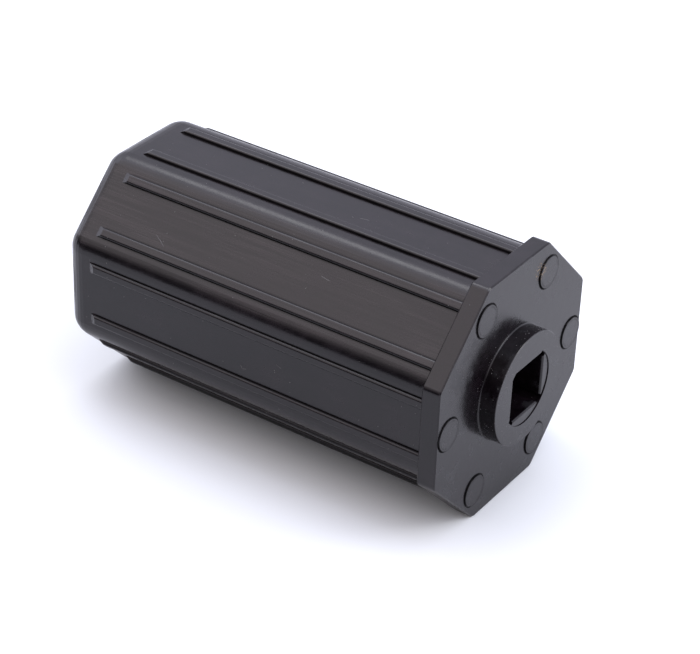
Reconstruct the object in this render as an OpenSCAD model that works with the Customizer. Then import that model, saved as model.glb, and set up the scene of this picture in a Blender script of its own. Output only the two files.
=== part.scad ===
// Octagonal tube end cap, one moulded piece: an octagonal flange with a round hub and a square drive socket,
// and a hollow ribbed barrel that slides into the end of an octagonal tube.
// The cap lies on one flat of the flange: X runs along its axis to the hub end, Z is up, millimetres.

/* [Flange] */
// Width of the flange across its flats
flange_af = 60; // [58:0.5:64]
// Thickness of the flange
flange_t = 4.6; // [3:0.1:8]
// Radius of the eight flange corners
flange_corner_r = 2; // [1.5:0.1:4]
// Bevel of the flange's edges
flange_bevel = 0.3; // [0.1:0.05:0.6]

/* [Barrel] */
// Width of the barrel across its flats, without the ribs
barrel_af = 56; // [54:0.5:57]
// Length of the barrel behind the flange
barrel_l = 99.5; // [70:0.5:140]
// Radius of the eight barrel corners
barrel_corner_r = 6; // [6:0.5:8]
// Rounding of the nose at the open end
nose_r = 6; // [3:0.5:6]
// How far the nose has curved in where the open end cuts it off
nose_in = 2.2; // [0.5:0.1:2.4]
// Wall of the barrel
wall = 3; // [2.6:0.1:4]
// Wall between the flange face and the hollow of the barrel
end_wall = 5; // [4:0.5:8]

/* [Ribs] */
// Distance of a rib from the middle of its flat
rib_offset = 6.9; // [4:0.1:7.5]
// Width of a rib
rib_w = 2.5; // [1.8:0.1:2.8]
// Height of a rib
rib_h = 0.8; // [0.75:0.05:1]
// Rounding of a rib's two long edges
rib_edge_r = 0.7; // [0.1:0.1:0.7]
// Plain barrel between the ribs and the open end
rib_gap = 7; // [6.5:0.5:20]
// Length of the ramp at the end of a rib
rib_ramp = 1.6; // [0.5:0.1:6]

/* [Hub] */
// Diameter of the hub
hub_d = 27.2; // [25:0.1:30]
// Height of the hub above the flange
hub_h = 4.3; // [2:0.1:10]
// Rounding of the hub where it meets the flange
hub_fillet_r = 0.3; // [0.2:0.1:1]
// Bevel of the hub's outer edge
hub_bevel = 0.1; // [0.05:0.05:0.8]
// Diameter of the shallow recess in the hub
recess_d = 18; // [18:0.1:20]
// Depth of the recess
recess_h = 0.2; // [0.1:0.05:1.5]

/* [Socket] */
// Width of the square socket across its flats
socket_w = 12.6; // [11.9:0.1:12.8]
// Rounding of the socket's mouth along its four sides
mouth_r = 0.5; // [0.3:0.05:0.55]
// Radius of the round reliefs in the socket's four corners
relief_r = 1.05; // [1:0.05:1.2]
// How far inside the socket's flats the middle of a relief lies
relief_in = 0.3; // [0.2:0.1:0.4]
// Diameter of the circle around the axis that the reliefs stay within
relief_reach_d = 17.8; // [17.6:0.1:17.8]
// Outer diameter of the tube behind the socket
socket_tube_d = 21.5; // [21:0.5:26]
// Length of that tube, from the flange face
socket_tube_l = 48; // [20:1:60]
// Thickness of the four webs that carry the tube
web_t = 2.4; // [1.5:0.1:4]
// How far the webs stop short of the end of that tube
web_setback = 6; // [2:1:12]

/* [Pads] */
// Diameter of the round pads left on the flange by the mould's push-out pins
pad_d = 7.9; // [6:0.1:10]
// Height of those pads
pad_h = 0.3; // [0.2:0.05:0.5]
// Bevel of a pad's edge
pad_bevel = 0.12; // [0.04:0.02:0.16]
// Clearance between a pad and the edge of the flange
pad_edge = 0.4; // [0.35:0.05:2]

/* [Hidden] */
$fn = 96;

// Number of flats
sides = 8;
turn = 360 / sides;
// Number of push-out pads
pads = 6;
// Number of webs around the tube
webs = 4;
// How far one body runs into the next where they join
overlap = 0.5;
// How far a cut runs past the body that it opens
past = 1;
// How far a corner's arc stands proud of the flats, which cut it off cleanly
corner_lift = 0.005;
// Height of the cap's axis above the surface that it lies on
axis_z = flange_af / 2;
// Place of the flange's outer face, with the middle of the whole length at X = 0
face_x = (flange_t + barrel_l - hub_h) / 2;
// Number of short slopes that make up the rounding of the nose
nose_steps = 5;
// Shape of an end that is cut off square
square_end = [[0, 0]];
// Radius of the circle that the pads lie on
pad_circle_r = (flange_af - pad_d) / 2 - pad_edge;
// Height of the floor of the recess, where the socket's mouth opens
mouth_z = hub_h - recess_h;
// Distance of a relief's middle from the socket's two middle planes
relief_at = socket_w / 2 - relief_in;
// Heights along the axis, from the flange's outer face at 0
barrel_end = -(flange_t + barrel_l);
rib_end = barrel_end + rib_gap;

// Outer edge of a section, from its low end to its high end. An end's shape is a list of points, each
// [how far in, how far from that end], from the end's face to the side.
function side_line(reach, low, high, low_shape, high_shape) = concat(
    [for (i = [0 : len(low_shape) - 1]) [reach - low_shape[i][0], low + low_shape[i][1]]],
    [for (i = [len(high_shape) - 1 : -1 : 0]) [reach - high_shape[i][0], high - high_shape[i][1]]]
);

// Octagonal body between two heights, with rounded corners
module octagon_body(af, corner_r, low, high, low_shape, high_shape) {
    reach = af / 2;
    corner_x = reach - corner_r + corner_lift;
    corner_y = corner_x * tan(turn / 2);
    right = side_line(reach, low, high, low_shape, high_shape);
    left = [for (i = [len(right) - 1 : -1 : 0]) [-right[i][0], right[i][1]]];
    corner = side_line(corner_r, low, high, low_shape, high_shape);
    intersection() {
        intersection_for (k = [0 : sides / 2 - 1])
            rotate([90, 0, k * turn])
                linear_extrude(2 * reach, center = true)
                    polygon(concat(right, left));
        union()
            for (k = [0 : sides - 1])
                rotate(k * turn) {
                    if (k < sides / 2)
                        translate([-reach - past, -corner_y, low - past])
                            cube([2 * (reach + past), 2 * corner_y, high - low + 2 * past]);
                    translate([corner_x, corner_y, 0])
                        rotate_extrude()
                            polygon(concat([[0, low]], corner, [[0, high]]));
                }
    }
}

module flange() {
    bevel = [[flange_bevel, 0], [0, flange_bevel]];
    octagon_body(flange_af, flange_corner_r, -flange_t, 0, bevel, bevel);
}

// Outside of the barrel, solid, with the rounded nose at the low end
module barrel_blank() {
    nose_angle = acos(1 - nose_in / nose_r);
    nose = [
        for (i = [0 : nose_steps])
            let(angle = nose_angle * (1 - i / nose_steps))
                [nose_r * (1 - cos(angle)), nose_r * (sin(nose_angle) - sin(angle))]
    ];
    octagon_body(barrel_af, barrel_corner_r, barrel_end, -flange_t + overlap, nose, square_end);
}

// Section of a rib, with its foot on the line X = 0
module rib_section() {
    translate([-overlap, -rib_w / 2])
        square([overlap + rib_h - rib_edge_r, rib_w]);
    translate([-overlap, rib_edge_r - rib_w / 2])
        square([overlap + rib_h, rib_w - 2 * rib_edge_r]);
    for (side = [-1, 1])
        translate([rib_h - rib_edge_r, side * (rib_w / 2 - rib_edge_r)])
            circle(r = rib_edge_r);
}

// One rib lying on the flat that faces +X, with a ramp at its low end
module rib() {
    base_x = barrel_af / 2;
    difference() {
        translate([base_x, rib_offset, rib_end])
            linear_extrude(-flange_t - rib_end + overlap)
                rib_section();
        translate([0, rib_offset + rib_w, 0])
            rotate([90, 0, 0])
                linear_extrude(2 * rib_w)
                    polygon([
                        [base_x, rib_end],
                        [base_x + 2 * rib_h, rib_end + 2 * rib_ramp],
                        [base_x + 2 * rib_h, rib_end - rib_ramp],
                        [base_x, rib_end - rib_ramp],
                    ]);
    }
}

module ribs() {
    for (k = [0 : sides - 1])
        rotate(k * turn) {
            rib();
            mirror([0, 1, 0])
                rib();
        }
}

// Hub with a bevelled outer edge and a small fillet at its foot
module hub() {
    rotate_extrude()
        difference() {
            polygon([
                [0, -overlap],
                [hub_d / 2 + hub_fillet_r, -overlap],
                [hub_d / 2 + hub_fillet_r, 0],
                [hub_d / 2 + hub_fillet_r, hub_fillet_r],
                [hub_d / 2, hub_fillet_r],
                [hub_d / 2, hub_h - hub_bevel],
                [hub_d / 2 - hub_bevel, hub_h],
                [0, hub_h],
            ]);
            translate([hub_d / 2 + hub_fillet_r, hub_fillet_r])
                circle(r = hub_fillet_r);
        }
}

module pad_ring() {
    for (k = [0 : pads - 1])
        rotate(90 + k * 360 / pads)
            translate([pad_circle_r, 0, 0])
                rotate_extrude()
                    polygon([
                        [0, -overlap],
                        [pad_d / 2, -overlap],
                        [pad_d / 2, pad_h - pad_bevel],
                        [pad_d / 2 - pad_bevel, pad_h],
                        [0, pad_h],
                    ]);
}

// The tube behind the socket and the webs that hold it in the hollow barrel
module socket_carrier() {
    web_l = socket_tube_l - web_setback;
    translate([0, 0, -socket_tube_l])
        cylinder(d = socket_tube_d, h = socket_tube_l - end_wall + overlap);
    for (k = [0 : webs - 1])
        rotate(k * 360 / webs)
            translate([0, -web_t / 2, -web_l])
                cube([barrel_af / 2 - wall + overlap, web_t, web_l - end_wall + overlap]);
}

// The hollow of the barrel, open at the low end
module hollow() {
    octagon_body(barrel_af - 2 * wall, barrel_corner_r - wall, barrel_end - past, -end_wall, square_end, square_end);
}

// Outline of the square socket, with a round relief in each corner
module socket_section() {
    square(socket_w, center = true);
    intersection() {
        for (x = [-relief_at, relief_at])
            for (y = [-relief_at, relief_at])
                translate([x, y])
                    circle(r = relief_r);
        circle(d = relief_reach_d);
    }
}

// Opening of the socket's mouth across two of its sides, as wide as the rounding goes. It ends in the reliefs.
module mouth_flare() {
    flare_w = socket_w + 2 * mouth_r;
    rotate([90, 0, 0])
        linear_extrude(2 * relief_at - relief_r, center = true)
            difference() {
                translate([-flare_w / 2, mouth_z - mouth_r])
                    square([flare_w, mouth_r + recess_h + past]);
                for (side = [-1, 1])
                    translate([side * flare_w / 2, mouth_z - mouth_r])
                        circle(r = mouth_r);
            }
}

// The socket, its rounded mouth and the round recess around it
module socket_cut() {
    translate([0, 0, -socket_tube_l - past])
        linear_extrude(socket_tube_l + hub_h + 2 * past)
            socket_section();
    mouth_flare();
    rotate(90)
        mouth_flare();
    translate([0, 0, mouth_z])
        cylinder(d = recess_d, h = recess_h + past);
}

module end_cap() {
    color([0.10, 0.10, 0.11])
        translate([face_x, 0, axis_z])
            rotate([0, 90, 0])
                difference() {
                    union() {
                        flange();
                        difference() {
                            union() {
                                barrel_blank();
                                ribs();
                            }
                            hollow();
                        }
                        hub();
                        pad_ring();
                        socket_carrier();
                    }
                    socket_cut();
                }
}

end_cap();
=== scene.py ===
"""Looks of the octagonal tube end cap: charcoal moulded plastic, a little handled, on a white table."""

import math

import bpy
from mathutils import Matrix, Vector


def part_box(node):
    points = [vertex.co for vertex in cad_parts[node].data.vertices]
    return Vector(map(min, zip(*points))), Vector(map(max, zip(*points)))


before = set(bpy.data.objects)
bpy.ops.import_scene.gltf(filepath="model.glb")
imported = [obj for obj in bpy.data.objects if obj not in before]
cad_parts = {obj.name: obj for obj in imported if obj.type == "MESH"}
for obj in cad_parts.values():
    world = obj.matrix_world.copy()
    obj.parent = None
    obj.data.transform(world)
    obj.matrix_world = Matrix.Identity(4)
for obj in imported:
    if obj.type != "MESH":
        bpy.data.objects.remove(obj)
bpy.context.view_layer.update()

# Sizes of the cap, in metres
CAP = "end_cap"
CAP_LOW, CAP_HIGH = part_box(CAP)
FLANGE_AF = CAP_HIGH.z - CAP_LOW.z
AXIS_Z = FLANGE_AF / 2
HUB_HEIGHT = 0.0043
HUB_RADIUS = 0.0136
FLANGE_THICKNESS = 0.0046
FACE_X = CAP_HIGH.x - HUB_HEIGHT
SHOULDER_X = FACE_X - FLANGE_THICKNESS
PAD_COUNT = 6
PAD_CIRCLE = 0.02565
PAD_RADIUS = 0.00395
PAD_HEIGHT = 0.0003
FLAT_COUNT = 8
# From the cap's axis to a flat of the barrel
BARREL_REACH = 0.028
RIB_OFFSET = 0.0069
RIB_WIDTH = 0.0025
# Where the ramp at the end of a rib has reached half its height
RIB_START_X = CAP_LOW.x + 0.0078
RIB_FADE = 0.002
# The socket, its recess and its reliefs lie within this distance of the axis
SOCKET_REACH = 0.009
# Width over which a mask changes at an edge of the cap
EDGE = 0.0001

# Camera, from the perspective of the photograph
CAMERA_PLACE = Vector((0.2565, -0.3758, 0.3135))
CAMERA_AZIMUTH = math.radians(33.61)
CAMERA_ELEVATION = math.radians(32.37)
CAMERA_ROLL = math.radians(2.265)
CAMERA_LENS = 119.49
SENSOR_WIDTH = 36.0

# Studio: each softbox has a place, the place that it points to, two sides and a radiance
SOFTBOXES = {
    "overhead": {
        "place": (-0.255, 0.07, 0.67),
        "aim": (0, 0, AXIS_Z),
        "sides": (0.15, 0.38),
        "radiance": 3.0,
    },
    "table_light": {
        "place": (0.24, 0.08, 0.16),
        "aim": (0.16, 0.04, 0),
        "sides": (0.1, 0.1),
        "radiance": 5.0,
    },
}
WARM_LIGHT = (1.0, 0.93, 0.98)
COOL_LIGHT = (0.92, 0.92, 1.08)
# Light of the studio round the cap's axis, from the front horizon at 0 over the top at 0.5 to the back at 1
STUDIO_ARCH = [
    (0.0, 0.07, COOL_LIGHT),
    (0.06, 0.08, COOL_LIGHT),
    (0.15, 0.67, WARM_LIGHT),
    (0.25, 1.85, WARM_LIGHT),
    (0.35, 2.3, WARM_LIGHT),
    (0.5, 2.4, COOL_LIGHT),
    (0.62, 1.95, COOL_LIGHT),
    (0.72, 1.32, COOL_LIGHT),
    (0.84, 1.0, COOL_LIGHT),
    (1.0, 1.1, COOL_LIGHT),
]
# The arch's colours are shares of this light
ARCH_TOP = 3.0
# The arch's strength in the middle of the cap's length, and how much it gains towards the hub end
ARCH_MIDDLE = 1.03
ARCH_TO_RIGHT = 0.08
# The front part of the arch is bright only round this place to the left, and keeps this share elsewhere
FRONT_PANEL_AT = -0.5
FRONT_ELSEWHERE = 0.5
# Distances from that place between which the light falls, and the part of the arch where its front ends
PANEL_EDGE = (0.15, 0.4)
FRONT_EDGE = (0.36, 0.5)
SEEN_WHITE = (1.0, 1.0, 1.0, 1.0)
TABLE_NEAR_EDGE = 0.35
TABLE_HALF_SIDE = 4.0
TABLE_COLOUR = (0.655, 0.672, 0.683, 1.0)
TABLE_SEEN_COLOUR = (0.82, 0.855, 0.855, 1.0)

# Colours of the plastic and of what lies on it
COAL = (0.0021, 0.0012, 0.002, 1.0)
COAL_CLOUDED = (0.006, 0.0037, 0.0054, 1.0)
SCUFFED = (0.032, 0.025, 0.026, 1.0)
HAZE = (0.022, 0.022, 0.024, 1.0)
INSIDE = (0.021, 0.02, 0.021, 1.0)
SCRATCHED = (0.09, 0.085, 0.085, 1.0)
DUST = (0.2, 0.2, 0.19, 1.0)
CRUMB = (0.26, 0.19, 0.12, 1.0)
# Painted shade: a dark, rough plastic mixed over the plain one along the rib feet and round the pads
PAINTED_SHADE = (0.0012, 0.0012, 0.0012, 1.0)
PLASTIC_IOR = 1.46
PAINTED_SHADE_IOR = 1.2
PAINTED_SHADE_ROUGHNESS = 0.9
RELIEF_DEPTH = 0.00005
RELIEF_STRENGTH = 0.45
# Roughness of the plain plastic, and what each mark adds to it where it is full
PLAIN_ROUGHNESS = 0.19
ADDED_ROUGHNESS = {
    "tone": 0.07,
    "grain": 0.05,
    "drags": 0.12,
    "haze": 0.12,
    "inside": 0.25,
    "loose": 0.5,
    "scratches": 0.2,
}
# How far each mark stands up, in parts of the relief's depth
RELIEF = {
    "grain": 0.6,
    "mottle": 0.6,
    "crumbs": 2.0,
    "dust": 1.2,
    "scratches": -1.5,
    "drags": 0.5,
}
# How strongly a mark's colour covers the plastic
HAZE_COVER = 0.6
DRAG_COVER = 0.75
SCRATCH_COVER = 0.8

# Scales of the noises. One of three numbers is stretched: along the axis first, then across it
CLOUDS = 95.0
MOTTLE = 520.0
GRAIN = 2400.0
HAZE_PATCHES = 210.0
RING_GAPS = 260.0
CRUMBS = 2600.0
FINE_DRAGS = (60.0, 2600.0, 2600.0)
BROAD_DRAGS = (24.0, 900.0, 900.0)
DRAG_PATCHES = (38.0, 110.0, 110.0)

# Masks: each pair holds the two values between which a mask rises
FLAT_FACING = (0.93, 0.99)
TONE_RISE = (0.38, 0.66)
HAZE_RISE = (0.5, 0.68)
FINE_DRAG_RISE = (0.4, 0.66)
BROAD_DRAG_RISE = (0.42, 0.66)
DRAG_PATCH_RISE = (0.36, 0.62)
RING_GAP_RISE = (0.3, 0.62)
CRUMB_RISE = (0.53, 0.6)
# Distances from a pad's edge over which its line of painted shade fades, and the same for a fainter painted
# line inside the edge
RING_FADE = (0.0001, 0.00034)
INNER_RING_FADE = (0.00005, 0.0003)
INNER_RING_IN = 0.00065
INNER_RING_STRENGTH = 0.3
# Least strength of a ring where it is faint, of a drag mark between patches and on the flats that rub less
RING_LEAST = 0.6
DRAG_LEAST = 0.35
RUB_LEAST = 0.22
FINE_DRAG_SHARE = 0.55
# Distances from a rib's foot over which its line of painted shade fades
FOOT_FADE = (0.00012, 0.00042)
# Strength of that painted shade line, and what it gains as painted shade where the rib's side faces down
FOOT_STRENGTH = 0.25
FOOT_STRENGTH_DOWN = 0.55
# Depth below the barrel's flats over which the line fades
FOOT_DEPTH = 0.0005
# Upward part of the normal between which a rib's side counts less and less as facing down
DOWN_FADE = (-0.1, 0.6)
# The mask of the hollow rises and falls over these distances from the axis and depths behind the flange face
HOLLOW_FROM = (0.0095, 0.01)
HOLLOW_TO = (0.0272, 0.0276)
HOLLOW_BEHIND = (0.0045, 0.0035)
# Dust thins out over these distances from the hub's side
DUST_FROM_HUB = (0.001, 0.008)
# Chance of a speck on the barrel, what it gains on the flange face, and what it gains beside the hub
DUST_CHANCE = 0.05
DUST_CHANCE_FACE = 0.05
DUST_CHANCE_HUB = 0.8
DUST_SPECKS = 1400.0
DUST_SIZE = 0.11
# Size of the smallest speck as a share, and the shares of a speck's size over which its edge fades
SPECK_SMALLEST = 0.5
SPECK_EDGE = (0.6, 1.0)
# The flat that has rubbed most: the one that faces up and to the front
RUBBED_FLAT = 45
# Crumbs beside one pad: place across and up from the axis
CRUMBS_AT = (0.0092, 0.0243)
CRUMBS_REACH = 0.0028
# Share of that reach in which they lie thick
CRUMBS_THICK = 0.4
# Scratches: angle of the flat from the top to the front, place along the axis and up the flat, length, tilt
SCRATCHES = [
    (45, -0.0301, -0.0040, 0.0024, -37),
    (45, -0.0312, -0.0034, 0.0035, -30),
    (45, 0.0120, 0.0021, 0.0030, -8),
    (90, -0.0034, -0.0030, 0.0011, -60),
    (90, -0.0026, -0.0032, 0.0013, 18),
    (90, 0.0068, 0.0012, 0.0017, -22),
    (0, 0.0105, -0.0015, 0.0026, 12),
    (315, -0.0120, 0.0020, 0.0042, -15),
    (270, 0.0145, -0.0018, 0.0030, 25),
    (135, -0.0205, 0.0010, 0.0036, -12),
]
SCRATCH_WIDTH = 0.00011
# Shares of a scratch's length from its middle over which it fades, and of its width that is full
SCRATCH_ENDS = (0.3, 0.5)
SCRATCH_FULL = 0.3


class Wire:
    """An output of a node. Arithmetic on wires adds Math nodes to their tree."""

    def __init__(self, socket):
        self.socket = socket

    def other(self, name):
        """Another output of the same node."""
        return Wire(self.socket.node.outputs[name])

    def __add__(self, other):
        return maths("ADD", self, other)

    def __sub__(self, other):
        return maths("SUBTRACT", self, other)

    def __rsub__(self, other):
        return maths("SUBTRACT", other, self)

    def __mul__(self, other):
        return maths("MULTIPLY", self, other)

    def __truediv__(self, other):
        return maths("DIVIDE", self, other)

    def __abs__(self):
        return maths("ABSOLUTE", self)

    __radd__ = __add__
    __rmul__ = __mul__


def connect(tree, value, socket):
    """Feeds a socket from a wire, or sets it to a plain value."""
    if isinstance(value, Wire):
        tree.links.new(value.socket, socket)
    else:
        socket.default_value = value


def maths(operation, *values):
    """Adds a Math node to the tree of the first wire among the values."""
    tree = next(value for value in values if isinstance(value, Wire)).socket.id_data
    added = tree.nodes.new("ShaderNodeMath")
    added.operation = operation
    for place, value in enumerate(values):
        connect(tree, value, added.inputs[place])
    return Wire(added.outputs[0])


def distance(across, up):
    """Length of the diagonal of two distances at right angles."""
    return maths("SQRT", across * across + up * up)


def at_least(mask, least):
    """A mask that runs from a least value to 1 instead of from 0."""
    return least + (1 - least) * mask


def weighted(weights, masks):
    """Sum of the masks that have a weight, each times its weight."""
    total = 0.0
    for name, weight in weights.items():
        total = total + weight * masks[name]
    return total


class Finish:
    """A material or world that is built from nodes."""

    def __init__(self, owner):
        owner.use_nodes = True
        self.owner = owner
        self.tree = owner.node_tree
        self.tree.nodes.clear()

    def node(self, kind, settings=None, inputs=None, output=0):
        """Adds a node: its settings come first, then the values or wires of its sockets."""
        added = self.tree.nodes.new("ShaderNode" + kind)
        for name, value in (settings or {}).items():
            if name == "stops":
                set_stops(added.color_ramp, value)
            else:
                setattr(added, name, value)
        for name, value in (inputs or {}).items():
            connect(self.tree, value, added.inputs[name])
        return Wire(added.outputs[output]) if added.outputs else added

    def parts(self, vector):
        """The three parts of a vector."""
        first = self.node("SeparateXYZ", inputs={"Vector": vector})
        return first, first.other("Y"), first.other("Z")

    def ease(self, value, low, high):
        """Rises smoothly from 0 at one value to 1 at another."""
        spread = {"Value": value, "From Min": low, "From Max": high}
        return self.node("MapRange", {"interpolation_type": "SMOOTHSTEP"}, spread)

    def noise(self, place, scale, detail=3.0):
        """Cloudy noise round 0.5. The scale is one number, or three for a stretched noise."""
        if isinstance(scale, tuple):
            place = self.node("VectorMath", {"operation": "MULTIPLY"}, {0: place, 1: scale})
            scale = 1.0
        return self.node("TexNoise", inputs={"Vector": place, "Scale": scale, "Detail": detail})

    def mix(self, amount, low, high):
        """Mixes two colours."""
        return self.node("Mix", {"data_type": "RGBA"}, {0: amount, 6: low, 7: high}, output=2)

    def dot(self, vector, direction):
        """How far a vector points in a direction."""
        sides = {0: vector, 1: direction}
        return self.node("VectorMath", {"operation": "DOT_PRODUCT"}, sides, output="Value")


def set_stops(ramp, stops):
    """Gives a colour ramp stops of (position, colour)."""
    while len(ramp.elements) < len(stops):
        ramp.elements.new(1.0)
    for element, (position, colour) in zip(ramp.elements, stops):
        element.position = position
        element.color = colour


class CapSurface(Finish):
    """Finish of the cap, with masks for its parts and for the marks on them."""

    def __init__(self, owner):
        super().__init__(owner)
        self.place = self.node("TexCoord", output="Object")
        self.normal = self.node("TexCoord", output="Normal")
        self.x, self.y, height = self.parts(self.place)
        self.z = height - AXIS_Z
        self.reach = distance(self.y, self.z)
        self.on_barrel = 1 - self.ease(self.x, SHOULDER_X - EDGE, SHOULDER_X)
        self.beyond_face = self.ease(self.x, FACE_X - 2 * EDGE, FACE_X - EDGE)
        below_hub = 1 - self.ease(self.x, FACE_X + 2 * PAD_HEIGHT, FACE_X + 3 * PAD_HEIGHT)
        self.on_face = self.beyond_face * below_hub

    def flat_mask(self, angle):
        """The flat that faces an angle from the top towards the front."""
        turned = math.radians(angle)
        facing = self.dot(self.normal, (0.0, -math.sin(turned), math.cos(turned)))
        return self.ease(facing, *FLAT_FACING)

    def specks(self, scale, size, chance):
        """Small round specks. Their size is a share of their spacing, and the chance runs from 0 to 1."""
        cells = self.node("TexVoronoi", inputs={"Vector": self.place, "Scale": scale})
        dice = self.node("SeparateColor", inputs={"Color": cells.other("Color")}, output="Red")
        share = cells / (size * (SPECK_SMALLEST + dice.other("Green")))
        return (1 - self.ease(share, *SPECK_EDGE)) * maths("LESS_THAN", dice, chance)

    def from_spoke(self, count):
        """Angle round the axis from the nearest of so many even spokes, of which one points along Y."""
        step = 2 * math.pi / count
        around = maths("ARCTAN2", self.z, self.y)
        return around - maths("ROUND", around / step) * step

    def pad_distance(self):
        """Distance from the middle of the nearest pad, across the flange face."""
        off = self.from_spoke(PAD_COUNT)
        outward = self.reach * maths("COSINE", off) - PAD_CIRCLE
        sideways = self.reach * maths("SINE", off)
        return distance(outward, sideways)

    def pad_step_shade(self):
        """Painted shade: a dark line in the step round each pad, with a fainter one inside it."""
        from_edge = self.pad_distance() - PAD_RADIUS
        uneven = self.ease(self.noise(self.place, RING_GAPS), *RING_GAP_RISE)
        ring = (1 - self.ease(abs(from_edge), *RING_FADE)) * at_least(uneven, RING_LEAST)
        inner = (1 - self.ease(abs(from_edge + INNER_RING_IN), *INNER_RING_FADE)) * uneven
        return maths("MAXIMUM", ring, inner * INNER_RING_STRENGTH) * self.on_face

    def rib_foot_shade(self):
        """Painted shade: dark lines along both feet of each rib, darker on the sides that face down."""
        across = abs(self.reach * maths("SINE", self.from_spoke(FLAT_COUNT)))
        from_foot = abs(abs(across - RIB_OFFSET) - RIB_WIDTH / 2)
        line = 1 - self.ease(from_foot, *FOOT_FADE)
        outside = self.ease(self.reach, BARREL_REACH - FOOT_DEPTH, BARREL_REACH)
        along = self.on_barrel * self.ease(self.x, RIB_START_X, RIB_START_X + RIB_FADE)
        faces_down = 1 - self.ease(self.dot(self.normal, (0.0, 0.0, 1.0)), *DOWN_FADE)
        return line * outside * along * (FOOT_STRENGTH + FOOT_STRENGTH_DOWN * faces_down)

    def drag_marks(self):
        """Streaks along the barrel, from sliding in and out of tubes. They are strongest on one flat."""
        fine = self.ease(self.noise(self.place, FINE_DRAGS, detail=4.0), *FINE_DRAG_RISE)
        broad = self.ease(self.noise(self.place, BROAD_DRAGS), *BROAD_DRAG_RISE)
        streaks = fine * FINE_DRAG_SHARE + broad * (1 - FINE_DRAG_SHARE)
        patches = self.ease(self.noise(self.place, DRAG_PATCHES), *DRAG_PATCH_RISE)
        worn = at_least(self.flat_mask(RUBBED_FLAT), RUB_LEAST)
        return streaks * at_least(patches, DRAG_LEAST) * worn * self.on_barrel

    def scratches(self):
        """A few short scratches on the flats of the barrel."""
        marks = 0.0
        for angle, along, up, length, tilt in SCRATCHES:
            turned = math.radians(angle)
            lean = math.radians(tilt)
            from_x = self.x - along
            from_s = self.y * math.cos(turned) + self.z * math.sin(turned) - up
            run = from_x * math.cos(lean) + from_s * math.sin(lean)
            off = from_s * math.cos(lean) - from_x * math.sin(lean)
            body = 1 - self.ease(abs(run), *(length * share for share in SCRATCH_ENDS))
            line = 1 - self.ease(abs(off), SCRATCH_WIDTH * SCRATCH_FULL, SCRATCH_WIDTH)
            marks = marks + body * line * self.flat_mask(angle)
        return marks

    def inside(self):
        """The hollow behind the end wall, with the outside of the socket's tube but not the socket."""
        within = self.ease(self.reach, *HOLLOW_FROM) * (1 - self.ease(self.reach, *HOLLOW_TO))
        before, after = (FACE_X - depth for depth in HOLLOW_BEHIND)
        return within * (1 - self.ease(self.x, before, after))

    def crumbs(self):
        """Tan crumbs caught beside one pad."""
        off = distance(self.y - CRUMBS_AT[0], self.z - CRUMBS_AT[1])
        near = 1 - self.ease(off, CRUMBS_REACH * CRUMBS_THICK, CRUMBS_REACH)
        return near * self.ease(self.noise(self.place, CRUMBS), *CRUMB_RISE) * self.on_face

    def dust(self):
        """Pale specks, thin on the barrel and thick on the flange face round the hub."""
        start, end = (HUB_RADIUS + gap for gap in DUST_FROM_HUB)
        near_hub = 1 - self.ease(self.reach, start, end)
        chance = DUST_CHANCE + (DUST_CHANCE_FACE + DUST_CHANCE_HUB * near_hub) * self.beyond_face
        out_of_socket = self.ease(self.reach, SOCKET_REACH - 2 * EDGE, SOCKET_REACH)
        return self.specks(DUST_SPECKS, DUST_SIZE, chance) * out_of_socket


def cap_plastic():
    """Charcoal moulded plastic with a satin gloss, drag marks along the barrel, dust, and painted shade
    along the rib feet and round the pads.
    """
    finish = CapSurface(bpy.data.materials.new("cap_plastic_finish"))
    clouds = finish.noise(finish.place, CLOUDS)
    mottle = finish.noise(finish.place, MOTTLE, detail=4.0)
    grain = finish.noise(finish.place, GRAIN, detail=2.0) - 0.5
    drags = finish.drag_marks()
    scratches = finish.scratches()
    dust = finish.dust()
    crumbs = finish.crumbs()
    inside = finish.inside()
    tone = finish.ease((clouds + mottle) / 2, *TONE_RISE)
    haze = finish.ease(finish.noise(finish.place, HAZE_PATCHES, detail=5.0), *HAZE_RISE)
    haze = haze * finish.beyond_face
    masks = {
        "tone": tone,
        "grain": grain,
        "mottle": mottle,
        "drags": drags,
        "haze": haze,
        "inside": inside,
        "dust": dust,
        "crumbs": crumbs,
        "loose": maths("MAXIMUM", dust, crumbs),
        "scratches": scratches,
    }

    colour = finish.mix(tone, COAL, COAL_CLOUDED)
    colour = finish.mix(inside, colour, INSIDE)
    colour = finish.mix(haze * HAZE_COVER, colour, HAZE)
    colour = finish.mix(drags * (1 - inside) * DRAG_COVER, colour, SCUFFED)
    colour = finish.mix(maths("MINIMUM", scratches, SCRATCH_COVER), colour, SCRATCHED)
    colour = finish.mix(dust, colour, DUST)
    colour = finish.mix(crumbs, colour, CRUMB)

    rough = PLAIN_ROUGHNESS + weighted(ADDED_ROUGHNESS, masks)
    relief = weighted(RELIEF, masks)
    bumps = finish.node(
        "Bump",
        inputs={"Strength": RELIEF_STRENGTH, "Distance": RELIEF_DEPTH, "Height": relief},
    )
    plastic = finish.node(
        "BsdfPrincipled",
        inputs={"Base Color": colour, "Roughness": rough, "IOR": PLASTIC_IOR, "Normal": bumps},
    )
    # Painted shade along the rib feet and round the pads: a dark rough plastic mixed in by their masks
    painted_shade = finish.node(
        "BsdfPrincipled",
        inputs={"Base Color": PAINTED_SHADE, "Roughness": PAINTED_SHADE_ROUGHNESS, "IOR": PAINTED_SHADE_IOR},
    )
    painted_shade_mask = maths("MAXIMUM", finish.pad_step_shade(), finish.rib_foot_shade())
    surface = finish.node("MixShader", inputs={0: painted_shade_mask, 1: plastic, 2: painted_shade})
    finish.node("OutputMaterial", inputs={"Surface": surface})
    return finish.owner


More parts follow.
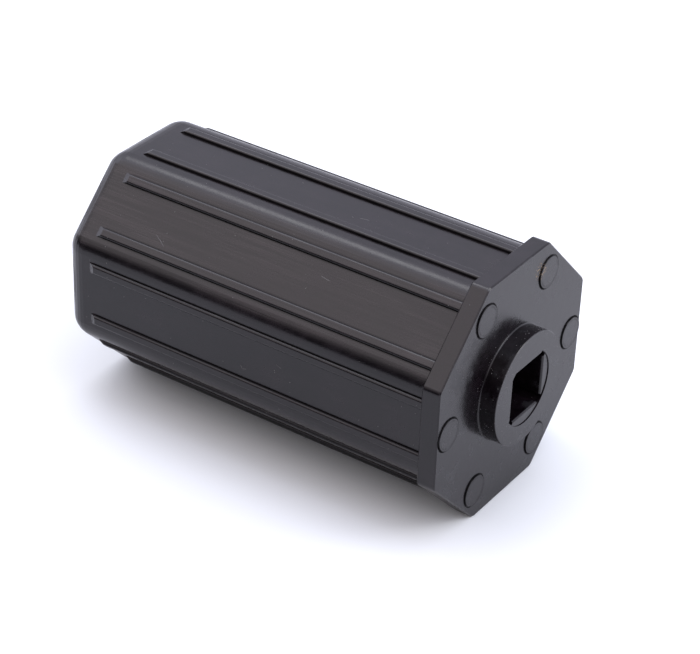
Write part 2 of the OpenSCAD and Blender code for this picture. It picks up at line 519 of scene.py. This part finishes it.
def table_finish():
    """White table that keeps the cap's shadow. The camera sees it a little paler than the cap does."""
    finish = Finish(bpy.data.materials.new("table_finish"))
    seen = finish.node("LightPath", output="Is Camera Ray")
    colour = finish.mix(seen, TABLE_COLOUR, TABLE_SEEN_COLOUR)
    diffuse = finish.node("BsdfDiffuse", inputs={"Color": colour})
    finish.node("OutputMaterial", inputs={"Surface": diffuse})
    return finish.owner


def make_table():
    """Flat table under the cap, with its near edge closer than its other edges."""
    half = TABLE_HALF_SIDE
    near = TABLE_NEAR_EDGE
    corners = [(-half, -near, 0), (half, -near, 0), (half, half, 0), (-half, half, 0)]
    mesh = bpy.data.meshes.new("table")
    mesh.from_pydata(corners, [], [(0, 1, 2, 3)])
    mesh.materials.append(table_finish())
    table = bpy.data.objects.new("table", mesh)
    bpy.context.scene.collection.objects.link(table)


def make_softboxes():
    """Lamps of the studio, which the camera doesn't see."""
    for name, box in SOFTBOXES.items():
        lamp = bpy.data.lights.new(name, "AREA")
        lamp.shape = "RECTANGLE"
        lamp.size, lamp.size_y = box["sides"]
        lamp.energy = box["radiance"] * math.pi * lamp.size * lamp.size_y
        holder = bpy.data.objects.new(name, lamp)
        holder.location = box["place"]
        backwards = Vector(box["place"]) - Vector(box["aim"])
        holder.rotation_euler = backwards.to_track_quat("Z", "Y").to_euler()
        holder.visible_camera = False
        bpy.context.scene.collection.objects.link(holder)


def make_world():
    """White for the camera, and otherwise an arch of soft light over the cap with a dark front horizon."""
    world = bpy.data.worlds.new("studio")
    finish = Finish(world)
    right, back, up = finish.parts(finish.node("TexCoord", output="Generated"))
    angle = maths("ARCTAN2", up, back * -1.0) / math.pi
    stops = []
    for place, light, tint in STUDIO_ARCH:
        stops.append((place, [light * part / ARCH_TOP for part in tint] + [1.0]))
    arch = finish.node("ValToRGB", {"stops": stops}, {"Fac": angle})
    front = 1 - finish.ease(angle, *FRONT_EDGE)
    beside_panel = finish.ease(abs(right - FRONT_PANEL_AT), *PANEL_EDGE)
    panel = 1 - (1 - FRONT_ELSEWHERE) * front * beside_panel
    light = (ARCH_MIDDLE + ARCH_TO_RIGHT * right) * panel * ARCH_TOP
    around = finish.node("Background", inputs={"Color": arch, "Strength": light})
    white = finish.node("Background", inputs={"Color": SEEN_WHITE, "Strength": 1.0})
    seen = finish.node("LightPath", output="Is Camera Ray")
    sky = finish.node("MixShader", inputs={0: seen, 1: around, 2: white})
    finish.node("OutputWorld", inputs={"Surface": sky})
    bpy.context.scene.world = world


def make_camera():
    """Camera that shows the cap in the perspective of the photograph."""
    lens = bpy.data.cameras.new("camera")
    lens.lens = CAMERA_LENS
    lens.sensor_width = SENSOR_WIDTH
    camera = bpy.data.objects.new("camera", lens)
    level_reach = math.cos(CAMERA_ELEVATION)
    back = Vector(
        (
            math.sin(CAMERA_AZIMUTH) * level_reach,
            -math.cos(CAMERA_AZIMUTH) * level_reach,
            math.sin(CAMERA_ELEVATION),
        )
    )
    level = back.to_track_quat("Z", "Y").to_matrix()
    turned = level @ Matrix.Rotation(CAMERA_ROLL, 3, "Z")
    camera.matrix_world = Matrix.Translation(CAMERA_PLACE) @ turned.to_4x4()
    bpy.context.scene.collection.objects.link(camera)
    bpy.context.scene.camera = camera


def dress_cap():
    """Gives the CAD node its finish."""
    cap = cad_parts[CAP]
    plastic = cap_plastic()
    for place in cap.material_slots:
        place.material = plastic


bpy.context.scene.view_settings.view_transform = "Standard"
make_camera()
make_world()
make_softboxes()
make_table()
dress_cap()
